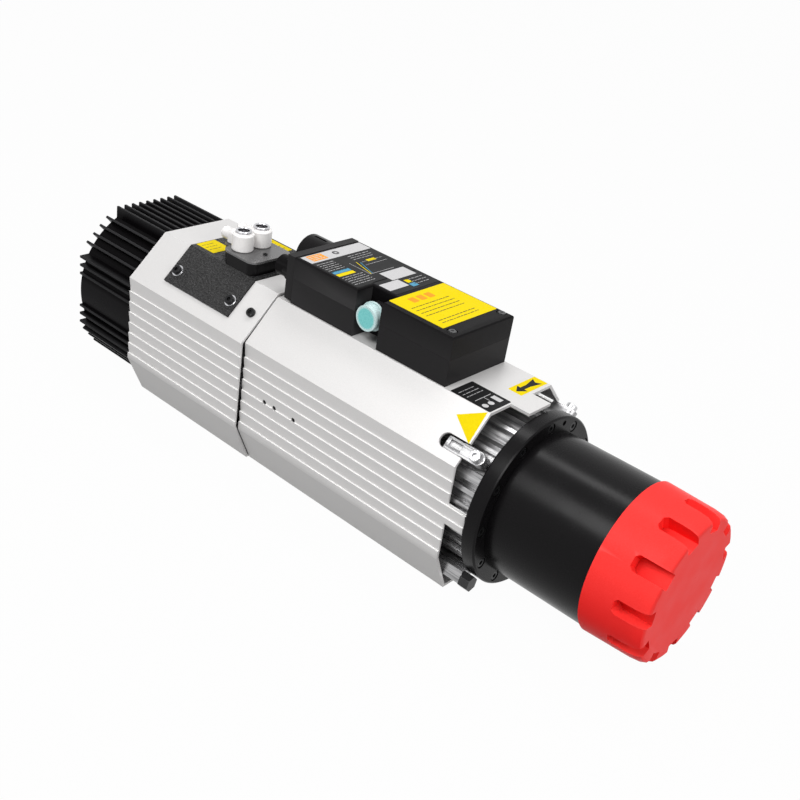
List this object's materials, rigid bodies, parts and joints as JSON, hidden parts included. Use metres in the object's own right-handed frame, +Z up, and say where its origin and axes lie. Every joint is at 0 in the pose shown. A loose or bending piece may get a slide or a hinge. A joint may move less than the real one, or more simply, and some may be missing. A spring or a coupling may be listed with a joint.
{
  "type": "motor spindle",
  "caption": "Air-cooled motor spindle with automatic tool change, finned rear cowl, octagonal aluminium body, junction box, mounting flange and a round nose under a transport cap.",
  "frame": {"origin": "on the spindle axis in the plane of the mounting flange's front face, where the nose begins", "axes": "+X along the spindle axis towards the nose and tool, +Z up through the junction box, Y across"},
  "size_m": [0.626, 0.1508, 0.1941],
  "materials": {
    "black_gloss": "gloss black cast housing",
    "black_guard": "matt black guard",
    "silver_skin": "satin anodised extrusion",
    "housing": "bright ribbed housing",
    "black_flange": "satin black",
    "crackle": "crackle black powder coat",
    "manifold_grey": "satin grey",
    "white_plastic": "white moulding",
    "chrome_ring": "bright ring",
    "box_plastic": "satin black moulding",
    "aqua": "aqua cap",
    "red_cap": "bright red satin moulding",
    "steel": "ground steel",
    "dark_steel": "blackened steel",
    "laminations": "stacked laminations",
    "windings": "varnished copper",
    "brass_part": "plain brass"
  },
  "bodies": {
    "motor": {"rear_cowl": "black_gloss", "fan_guard": "black_guard", "fan_frame": "black_guard", "rear_skin": "silver_skin", "front_skin": "silver_skin", "stator_housing": "housing", "front_flange": "black_flange", "flange_screws": "dark_steel", "nose_cartridge": "black_flange", "nose_cover": "black_flange", "nose_cover_screws": "dark_steel", "front_outer_rings": "steel", "front_ball_cages": "brass_part", "bearing_spacers": "steel", "rear_outer_ring": "steel", "rear_ball_cage": "brass_part", "stator_core": "laminations", "end_windings": "windings", "end_shield": "housing", "release_cylinder": "housing", "cylinder_cover": "housing", "position_sensors": "brass_part", "saddle_cover": "crackle", "saddle_screws": "dark_steel", "skin_screws": "dark_steel", "manifold_block": "black_flange", "manifold_plate": "manifold_grey", "fitting_near": "white_plastic", "fitting_far": "white_plastic", "junction_base": "box_plastic", "junction_cover": "box_plastic", "junction_screws": "dark_steel", "terminal_block": "white_plastic", "gland_plate": "box_plastic", "power_connector": "black_flange", "signal_gland": "box_plastic", "cable_gland": "box_plastic", "upper_brackets": "housing", "bracket_screws": "steel", "corner_bars": "housing", "small_screws": "dark_steel", "corner_bolts": "dark_steel", "mounting_rails": "housing"},
    "spindle": {"spindle_shaft": "steel", "drive_keys": "steel", "rotor_core": "laminations", "shaft_nut": "dark_steel", "front_inner_rings": "steel", "rear_inner_ring": "steel", "disc_springs": "dark_steel"},
    "drawbar": {"drawbar": "steel", "gripper": "steel"},
    "piston": {"release_piston": "steel"},
    "fan": {"fan_impeller": "black_guard"},
    "cap": {"nose_cap": "red_cap"},
    "gland_cap": {"gland_cap": "aqua"},
    "collet_near": {"collet_near": "chrome_ring"},
    "collet_far": {"collet_far": "chrome_ring"},
    "elbow_near": {"elbow_near": "white_plastic"},
    "elbow_far": {"elbow_far": "white_plastic"}
  },
  "joints": [
    {"name": "spindle_spin", "type": "hinge", "parent": "motor", "child": "spindle", "pos_m": [0, 0, 0], "axis": [1, 0, 0], "continuous": true},
    {"name": "drawbar_slide", "type": "slide", "parent": "spindle", "child": "drawbar", "axis": [1, 0, 0], "range_m": [0, 0.006], "stiffness_N_per_m": 2000, "deforming": ["disc_springs"]},
    {"name": "piston_slide", "type": "slide", "parent": "motor", "child": "piston", "axis": [1, 0, 0], "range_m": [0, 0.008], "stiffness_N_per_m": 1000},
    {"name": "fan_spin", "type": "hinge", "parent": "motor", "child": "fan", "pos_m": [-0.452, 0, 0], "axis": [1, 0, 0], "continuous": true},
    {"name": "nose_cap_pull", "type": "slide", "parent": "motor", "child": "cap", "axis": [1, 0, 0], "range_m": [0, 0.12]},
    {"name": "gland_cap_pull", "type": "slide", "parent": "motor", "child": "gland_cap", "axis": [0, -1, 0], "range_m": [0, 0.02]},
    {"name": "collet_near_press", "type": "slide", "parent": "motor", "child": "collet_near", "axis": [0, 0, -1], "range_m": [0, 0.0012], "stiffness_N_per_m": 200},
    {"name": "collet_far_press", "type": "slide", "parent": "motor", "child": "collet_far", "axis": [0, 0, -1], "range_m": [0, 0.0012], "stiffness_N_per_m": 200},
    {"name": "elbow_near_swivel", "type": "hinge", "parent": "motor", "child": "elbow_near", "pos_m": [-0.3382, -0.021, 0.095], "axis": [0, 0, 1], "range_deg": [-5, 90]},
    {"name": "elbow_far_swivel", "type": "hinge", "parent": "motor", "child": "elbow_far", "pos_m": [-0.3382, -0.0035, 0.095], "axis": [0, 0, 1], "range_deg": [-100, 5]}
  ],
  "couplings": [
    {"joint": "drawbar_slide", "follows": "piston_slide", "ratio": 0.75}
  ]
}
